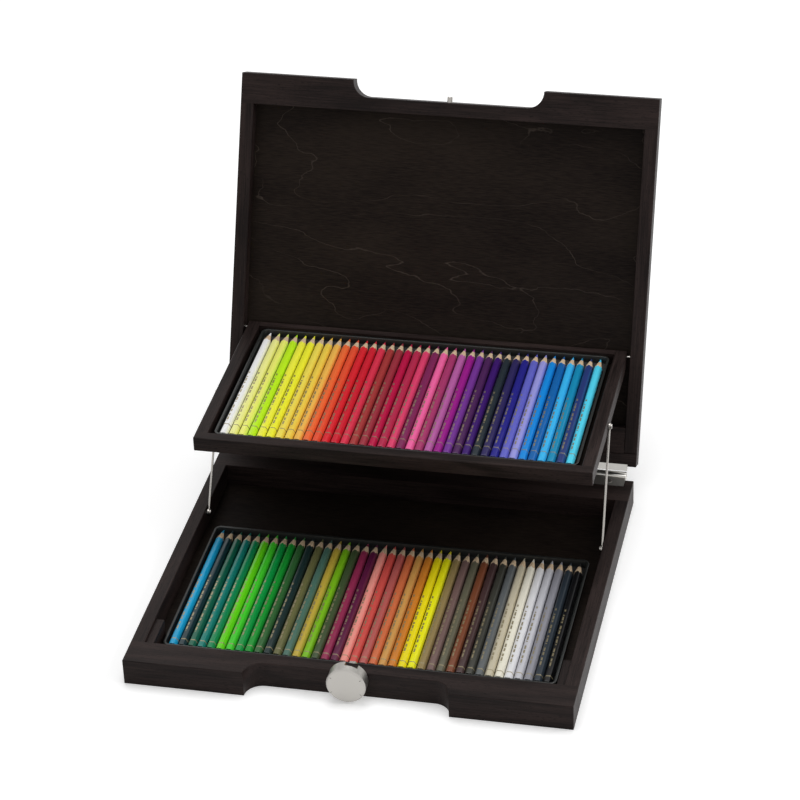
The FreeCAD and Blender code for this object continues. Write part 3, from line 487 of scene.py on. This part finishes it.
# Hot-stamped foil: a thin pale gold film that follows the lacquer and scatters light as much as it mirrors
FOIL = new_material("stamped_foil", FOIL_COLOUR, roughness=0.3, metallic=FOIL_METAL)[0]
LACQUER = pencil_lacquer("gloss_pencil_lacquer")
CEDAR = bare_cedar("sharpened_cedar")
LEAD = coloured_lead("pigment_lead")

NODE_MATERIALS = {
    WOOD_X: ("base_front_rail", "base_back_rail", "lid_front_rail", "lid_back_strip", "lid_inner_rail",
             "tray_front_rail", "tray_back_rail"),
    WOOD_Y: ("base_left_rail", "base_right_rail", "tray_left_rail", "tray_right_rail",
             "rest_block_left", "rest_block_right"),
    WOOD_LID: ("lid_left_rail", "lid_right_rail"),
    VENEER: ("lid_panel",),
    FLOOR_VENEER: ("base_panel", "tray_panel"),
    PAINT: ("lower_insert", "upper_insert"),
    PLASTIC: ("lower_liner", "upper_liner"),
    EXTRUDED: ("hinge_left_base_leaf", "hinge_left_lid_leaf",
               "hinge_right_base_leaf", "hinge_right_lid_leaf"),
    BLASTED: ("knob_cup",),
    NICKEL: ("catch_stud", "tray_pin_left", "tray_pin_right", "strut_left", "strut_right",
             "strut_foot_screws", "strut_head_screws", "knob_spindle", "knob_nut"),
}


def dress_nodes():
    """Give each carried-over piece its finish."""
    for material, names in NODE_MATERIALS.items():
        for name in names:
            NODES[name].data.materials.clear()
            NODES[name].data.materials.append(material)


# Modelling

def deselect():
    """Leave edit mode and select nothing."""
    if bpy.context.object and bpy.context.object.mode != "OBJECT":
        bpy.ops.object.mode_set(mode="OBJECT")
    bpy.ops.object.select_all(action="DESELECT")


def only(piece):
    """Select this piece alone and make it the active one."""
    deselect()
    piece.select_set(True)
    bpy.context.view_layer.objects.active = piece


def pick(piece, kind, test):
    """Go into edit mode with only those vertices, edges or faces selected that pass the test."""
    bpy.ops.object.mode_set(mode="OBJECT")
    mesh = piece.data
    for items in (mesh.vertices, mesh.edges, mesh.polygons):
        items.foreach_set("select", [False] * len(items))
    bpy.context.tool_settings.mesh_select_mode = (kind == "VERT", kind == "EDGE", kind == "FACE")
    if kind == "VERT":
        for vertex in mesh.vertices:
            vertex.select = test(vertex.co)
    if kind == "EDGE":
        for edge in mesh.edges:
            edge.select = test(*(mesh.vertices[index].co for index in edge.vertices))
    if kind == "FACE":
        for face in mesh.polygons:
            face.select = test(face.center, face.normal)
    bpy.ops.object.mode_set(mode="EDIT")


def apply_modifier(piece, kind, **settings):
    """Add a modifier and put its result into the mesh."""
    only(piece)
    modifier = piece.modifiers.new(kind.lower(), kind)
    for name, value in settings.items():
        setattr(modifier, name, value)
    bpy.ops.object.modifier_apply(modifier=modifier.name)


def join(pieces):
    """One piece from several."""
    deselect()
    for piece in pieces:
        piece.select_set(True)
    bpy.context.view_layer.objects.active = pieces[0]
    bpy.ops.object.join()
    return pieces[0]


def add_copy(piece, matrix):
    """A copy of a modelled piece with its own mesh, placed by a matrix."""
    copy = piece.copy()
    copy.data = piece.data.copy()
    bpy.context.scene.collection.objects.link(copy)
    copy.matrix_world = matrix
    return copy


def settle(piece, name, body, material_slot, *nodes):
    """Name a finished piece, put its place into its mesh, and let it ride on its body."""
    only(piece)
    bpy.ops.object.transform_apply(location=True, rotation=True, scale=True)
    piece.name = name
    piece.data.name = name
    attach(piece, body)
    if nodes:
        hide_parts(*nodes)


# Pencils

def model_pencil(ring):
    """One sharpened pencil along +Y, with its blunt end at the origin, a flat on top and a foil ring."""
    half_side = math.pi / PENCIL_SIDES
    corner = PENCIL_FLATS / 2 / math.cos(half_side)
    deselect()
    bpy.ops.mesh.primitive_cylinder_add(
        vertices=PENCIL_SIDES, radius=corner, depth=PENCIL_LENGTH, end_fill_type="NGON",
        location=(0, PENCIL_LENGTH / 2, 0), rotation=(-QUARTER_TURN, half_side, 0))
    pencil = bpy.context.object
    bpy.ops.object.transform_apply(location=True, rotation=True, scale=True)
    pick(pencil, "EDGE", lambda a, b: abs(a.y - b.y) > PENCIL_LENGTH / 2)
    bpy.ops.mesh.bevel(offset=PENCIL_ARRIS, segments=ARRIS_STEPS, affect="EDGES")
    pick(pencil, "EDGE", lambda a, b: a.y < PENCIL_POINT and b.y < PENCIL_POINT)
    bpy.ops.mesh.bevel(offset=PENCIL_ARRIS, segments=ARRIS_STEPS, affect="EDGES")
    deselect()

    narrowing = (PENCIL_FLATS / 2 - PENCIL_POINT) / PENCIL_CONE
    cone_length = 2 * PENCIL_LENGTH
    bpy.ops.mesh.primitive_cone_add(
        vertices=CONE_SIDES, radius1=PENCIL_POINT + narrowing * cone_length, radius2=PENCIL_POINT,
        depth=cone_length, location=(0, 0, 0), rotation=(-QUARTER_TURN, 0, 0))
    sharpener = bpy.context.object
    apply_modifier(pencil, "BOOLEAN", operation="INTERSECT", solver="EXACT", object=sharpener)
    bpy.data.objects.remove(sharpener)

    only(pencil)
    bpy.ops.object.mode_set(mode="EDIT")
    for place in (PENCIL_LENGTH - PENCIL_LEAD, ring - RING_WIDTH / 2, ring + RING_WIDTH / 2):
        bpy.ops.mesh.select_all(action="SELECT")
        bpy.ops.mesh.bisect(plane_co=(0, place, 0), plane_no=(0, 1, 0))
    deselect()

    coats = (LACQUER, CEDAR, LEAD, FOIL)
    for coat in coats:
        pencil.data.materials.append(coat)
    for face in pencil.data.polygons:
        coat = LACQUER
        if face.center.y > PENCIL_LENGTH - PENCIL_LEAD:
            coat = LEAD
        elif face.center.y > PENCIL_LENGTH - CONE_REACH and face.normal.y > narrowing / 2:
            coat = CEDAR
        elif abs(face.center.y - ring) < RING_WIDTH / 2:
            coat = FOIL
        face.material_index = coats.index(coat)
    only(pencil)
    bpy.ops.object.shade_smooth_by_angle(angle=FLAT_SIDED)

    mesh = pencil.data
    own_place = mesh.attributes.new("own_place", "FLOAT_VECTOR", "POINT")
    places = [c for vertex in mesh.vertices for c in vertex.co]
    own_place.data.foreach_set("vector", places)
    return pencil


def lacquered(pencil, code, matrix):
    """A copy of the pencil in its own colour, placed by a matrix."""
    copy = add_copy(pencil, matrix)
    paint = copy.data.attributes.new("lacquer", "FLOAT_COLOR", "POINT")
    paint.data.foreach_set("color", list(linear(code)) * len(copy.data.vertices))
    return copy


def lay_pencils():
    """Both rows of pencils, joined in the groups that the case's pieces have."""
    chance = random.Random(CHANCE_SEED)
    for row, body, lacquers, groups, ring in ROWS:
        pencil = model_pencil(ring)
        codes = list(lacquers.values())
        first = 0
        for group, size in enumerate(groups, start=1):
            node = f"{row}_pencils_{group}"
            low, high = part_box(node)
            middle_x = (low.x + high.x) / 2
            row_z = (low.z + high.z) / 2
            copies = []
            for index in range(size):
                slide = chance.uniform(-SLIDE_JITTER, SLIDE_JITTER)
                roll = Matrix.Rotation(chance.uniform(-ROLL_JITTER, ROLL_JITTER), 4, "Y")
                place = Matrix.Translation((middle_x + (index - (size - 1) / 2) * PENCIL_PITCH,
                                            low.y + slide, row_z))
                copies.append(lacquered(pencil, codes[first + index], place @ roll))
            settle(join(copies), f"{row}_pencil_group_{group}", body, "pencil_wood", node)
            first += size
        bpy.data.objects.remove(pencil)


# Inserts

def press_insert(row, body):
    """A sheet pressed into a shallow tray with round corners and a flat rim."""
    low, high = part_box(f"{row}_insert")
    middle = (low + high) / 2
    deselect()
    bpy.ops.mesh.primitive_plane_add(size=1, location=(middle.x, middle.y, high.z))
    insert = bpy.context.object
    insert.scale = (high.x - low.x, high.y - low.y, 1)
    bpy.ops.object.transform_apply(location=True, rotation=True, scale=True)
    pick(insert, "VERT", lambda place: True)
    bpy.ops.mesh.bevel(offset=INSERT_CORNER, segments=CORNER_STEPS, affect="VERTICES")
    pick(insert, "FACE", lambda centre, normal: True)
    bpy.ops.mesh.inset(thickness=INSERT_RIM + SHEET)
    bpy.ops.mesh.extrude_region_move(
        TRANSFORM_OT_translate={"value": (0, 0, low.z + SHEET - high.z)})
    only(insert)
    bpy.ops.object.mode_set(mode="EDIT")
    bpy.ops.mesh.select_all(action="SELECT")
    bpy.ops.mesh.normals_make_consistent(inside=False)
    bpy.ops.object.mode_set(mode="OBJECT")
    if sum(face.normal.z * face.area for face in insert.data.polygons) < 0:
        bpy.ops.object.mode_set(mode="EDIT")
        bpy.ops.mesh.flip_normals()
        bpy.ops.object.mode_set(mode="OBJECT")
    apply_modifier(insert, "SOLIDIFY", thickness=SHEET, offset=-1.0, use_even_offset=True)
    apply_modifier(insert, "BEVEL", width=SHEET_EDGE, segments=EDGE_STEPS, limit_method="ANGLE",
                   angle_limit=SHEET_FOLD)
    only(insert)
    bpy.ops.object.shade_smooth_by_angle(angle=INSERT_SMOOTH)
    insert.data.materials.append(PAINT)
    settle(insert, f"{row}_pressed_insert", body, "insert_metal", f"{row}_insert")


# Knob

MARK_PLACE = 14.6 * MM
MARK_LENGTH = 1.5 * MM
MARK_WIDTH = 0.45 * MM
MARK_PROUD = 0.03 * MM
MARK_EDGE = 0.01 * MM
# Degrees round the knob's face
MARK_TURNS = (30, 150, 210, 330)


def mark_knob():
    """Four short dark marks laid just proud of the knob's face near its edge: painted shade where the face
    has small notches.
    """
    low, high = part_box("knob_cup")
    marks = []
    for degrees in MARK_TURNS:
        turn = math.radians(degrees)
        deselect()
        bpy.ops.mesh.primitive_cube_add(
            size=1, rotation=(0, -turn, 0),
            location=((low.x + high.x) / 2 + MARK_PLACE * math.cos(turn), low.y,
                      (low.z + high.z) / 2 + MARK_PLACE * math.sin(turn)))
        mark = bpy.context.object
        mark.scale = (MARK_LENGTH, 2 * MARK_PROUD, MARK_WIDTH)
        bpy.ops.object.transform_apply(location=True, rotation=True, scale=True)
        marks.append(mark)
    mark = join(marks)
    apply_modifier(mark, "BEVEL", width=MARK_EDGE, segments=1)
    # Painted shade: the near-black marks stand in for the shade in the notches
    mark.data.materials.append(NOTCH_SHADE)
    settle(mark, "knob_marks", "knob", "knob_aluminium")


# Hinges

HINGE_AXIS = Vector((0, 176 * MM, 22.5 * MM))
HINGE_SMOOTH = math.radians(30)
MERGE_DISTANCE = 0.001 * MM
BARREL_BORE = 2.5 * MM
BORE_DEPTH = 4 * MM
BORE_SIDES = 32
SCREW_SIDES = 24
SCREW_HEAD = 2.7 * MM
SCREW_RISE = 0.16 * MM
SCREW_EDGE = 0.096 * MM
SCREW_EDGE_STEPS = 2
SCREW_RECESS_LENGTH = 3.0 * MM
SCREW_RECESS_WIDTH = 0.8 * MM
SCREW_RECESS_DEPTH = 0.12 * MM
# How far a base leaf's plate lies below the top of the base
LEAF_SINK = 0.2 * MM
# A screw's place, from the middle of its leaf and from the hinge's axis, with the lid shut
SCREW_SPREAD = 28 * MM
BASE_SCREW_AHEAD = 11.5 * MM
LID_PLATE_BEHIND = -8.5 * MM
LID_PLATE_MIDDLE = 8.8 * MM


def hollow_barrel(side):
    """The base leaf with its barrel bored open at both ends, so that the pin ends inside."""
    node = f"hinge_{side}_base_leaf"
    low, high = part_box(node)
    leaf = bpy.data.objects.new(node, NODES[node].data.copy())
    bpy.context.scene.collection.objects.link(leaf)
    only(leaf)
    bpy.ops.object.mode_set(mode="EDIT")
    bpy.ops.mesh.select_all(action="SELECT")
    bpy.ops.mesh.remove_doubles(threshold=MERGE_DISTANCE)
    for end in (low.x, high.x):
        deselect()
        bpy.ops.mesh.primitive_cylinder_add(
            vertices=BORE_SIDES, radius=BARREL_BORE, depth=2 * BORE_DEPTH,
            location=(end, HINGE_AXIS.y, HINGE_AXIS.z), rotation=(0, QUARTER_TURN, 0))
        bore = bpy.context.object
        apply_modifier(leaf, "BOOLEAN", operation="DIFFERENCE", solver="EXACT", object=bore)
        bpy.data.objects.remove(bore)
    only(leaf)
    bpy.ops.object.shade_smooth_by_angle(angle=HINGE_SMOOTH)
    settle(leaf, f"hinge_{side}_barrel_leaf", "base", "hinge_aluminium", node)


def model_screw():
    """A countersunk head, nearly flush, with a cross recess; its seat is at the origin and faces +Z."""
    deselect()
    bpy.ops.mesh.primitive_cylinder_add(vertices=SCREW_SIDES, radius=SCREW_HEAD, depth=2 * SCREW_RISE)
    screw = bpy.context.object
    pick(screw, "EDGE", lambda a, b: a.z > 0 and b.z > 0)
    bpy.ops.mesh.bevel(offset=SCREW_EDGE, segments=SCREW_EDGE_STEPS, affect="EDGES")
    for turn in (0, QUARTER_TURN):
        deselect()
        bpy.ops.mesh.primitive_cube_add(size=1, location=(0, 0, SCREW_RISE), rotation=(0, 0, turn))
        cutter = bpy.context.object
        cutter.scale = (SCREW_RECESS_LENGTH, SCREW_RECESS_WIDTH, 2 * SCREW_RECESS_DEPTH)
        apply_modifier(screw, "BOOLEAN", operation="DIFFERENCE", solver="EXACT", object=cutter)
        bpy.data.objects.remove(cutter)
    only(screw)
    bpy.ops.object.shade_smooth_by_angle(angle=HINGE_SMOOTH)
    screw.data.materials.append(NICKEL)
    return screw


def drive_hinge_screws():
    """Two screws in each hinge leaf: on top of the base, and in the back of the lid."""
    screw = model_screw()
    on_base, on_lid = [], []
    lid_turn = Matrix.Rotation(-LID_LEAN, 4, "X")
    out_of_back = Matrix.Rotation(-QUARTER_TURN, 4, "X")
    for side in ("left", "right"):
        low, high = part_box(f"hinge_{side}_base_leaf")
        middle = (low.x + high.x) / 2
        leaf_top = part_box("base_back_rail")[1].z - LEAF_SINK
        for place in (middle - SCREW_SPREAD, middle + SCREW_SPREAD):
            on_base.append(add_copy(screw, Matrix.Translation(
                (place, HINGE_AXIS.y - BASE_SCREW_AHEAD, leaf_top))))
            seat = Matrix.Translation((place, LID_PLATE_BEHIND, LID_PLATE_MIDDLE))
            on_lid.append(add_copy(screw, Matrix.Translation(HINGE_AXIS) @ lid_turn @ seat @ out_of_back))
    settle(join(on_base), "hinge_base_screw_heads", "base", "steel")
    settle(join(on_lid), "hinge_lid_screw_heads", "lid", "steel")
    bpy.data.objects.remove(screw)


# Camera, light and floor

STUDIO_GREY = 0.4
# The lamps' places and sizes are in metres and their powers in watts
LAMP_TARGET = (0, 0.05, 0.1)
KEY_PLACE = (-0.2, 0.5, 2.6)
KEY_SIZE = 1.8
KEY_POWER = 30.0
FILL_PLACE = (1.9, 0.2, 1.5)
FILL_SIZE = 1.4
FILL_POWER = 16.0
FLOOR_SIZE = 12
FLOOR_DROP = 0.2 * MM
FLOOR_LIFT = 0.3
# What the floor reflects onto the case, and what the camera and gloss see
FLOOR_PALE = "E4E4E4"
FLOOR_WHITE = "FFFFFF"


def add_camera():
    """The camera at the photograph's distance and angle, tilted as it was held."""
    back = Vector((math.sin(CAMERA_AZIMUTH) * math.cos(CAMERA_ELEVATION),
                   -math.cos(CAMERA_AZIMUTH) * math.cos(CAMERA_ELEVATION),
                   math.sin(CAMERA_ELEVATION)))
    deselect()
    bpy.ops.object.camera_add(location=CAMERA_TARGET + back * CAMERA_DISTANCE)
    camera = bpy.context.object
    aim = (-back).to_track_quat("-Z", "Y").to_matrix()
    camera.rotation_euler = (aim @ Matrix.Rotation(CAMERA_ROLL, 3, "Z")).to_euler()
    camera.data.sensor_width = CAMERA_SENSOR
    camera.data.lens = CAMERA_LENS
    camera.data.clip_start = CAMERA_NEAR
    camera.data.clip_end = CAMERA_FAR
    bpy.context.scene.camera = camera


def add_softbox(name, place, size, power):
    """A square lamp that faces the case."""
    deselect()
    bpy.ops.object.light_add(type="AREA", location=place)
    lamp = bpy.context.object
    lamp.name = name
    lamp.rotation_euler = (Vector(place) - Vector(LAMP_TARGET)).to_track_quat("Z", "Y").to_euler()
    lamp.data.shape = "RECTANGLE"
    lamp.data.size = size
    lamp.data.size_y = size
    lamp.data.energy = power


def seen_directly(owner):
    """1 for what the camera sees by itself, in gloss or through glass, and 0 for light on the object."""
    path = add_node(owner, "ShaderNodeLightPath")
    seen = add_node(owner, "ShaderNodeMath", {"operation": "MAXIMUM"},
                    {0: path.outputs["Is Camera Ray"], 1: path.outputs["Is Glossy Ray"]})
    clear = add_node(owner, "ShaderNodeMath", {"operation": "MAXIMUM"},
                     {0: seen.outputs[0], 1: path.outputs["Is Transmission Ray"]})
    return clear.outputs[0]


def add_world():
    """Grey studio light all round, seen as white by the camera and in gloss."""
    world = bpy.data.worlds.new("studio")
    world.use_nodes = True
    bpy.context.scene.world = world
    background = world.node_tree.nodes["Background"]
    level = add_node(world, "ShaderNodeMapRange", None,
                     {"Value": seen_directly(world), "To Min": STUDIO_GREY, "To Max": 1.0})
    world.node_tree.links.new(level.outputs[0], background.inputs["Strength"])
    background.inputs["Color"].default_value = (1, 1, 1, 1)


def add_floor():
    """A pale matt floor that shows white to the camera and keeps the case's shadow."""
    deselect()
    bpy.ops.mesh.primitive_plane_add(size=FLOOR_SIZE, location=(0, 0, -FLOOR_DROP))
    floor = bpy.context.object
    floor.name = "floor"
    material, shader = new_material("white_paper_floor", FLOOR_PALE, roughness=0.9)
    seen = seen_directly(material)
    tone = add_node(material, "ShaderNodeMix", {"data_type": "RGBA"},
                    {0: seen, 6: linear(FLOOR_PALE), 7: linear(FLOOR_WHITE)})
    link(material, tone.outputs[2], shader.inputs["Base Color"])
    lift = add_node(material, "ShaderNodeMath", {"operation": "MULTIPLY"}, {0: seen, 1: FLOOR_LIFT})
    shader.inputs["Emission Color"].default_value = (1, 1, 1, 1)
    link(material, lift.outputs[0], shader.inputs["Emission Strength"])
    shader.inputs["Specular IOR Level"].default_value = 0.0
    floor.data.materials.append(material)


bpy.context.scene.view_settings.view_transform = "Standard"
add_camera()
add_world()
add_floor()
add_softbox("key", KEY_PLACE, KEY_SIZE, KEY_POWER)
add_softbox("fill", FILL_PLACE, FILL_SIZE, FILL_POWER)
dress_nodes()
lay_pencils()
for insert_row, insert_body in (("lower", "base"), ("upper", "tray")):
    press_insert(insert_row, insert_body)
mark_knob()
for hinge_side in ("left", "right"):
    hollow_barrel(hinge_side)
drive_hinge_screws()
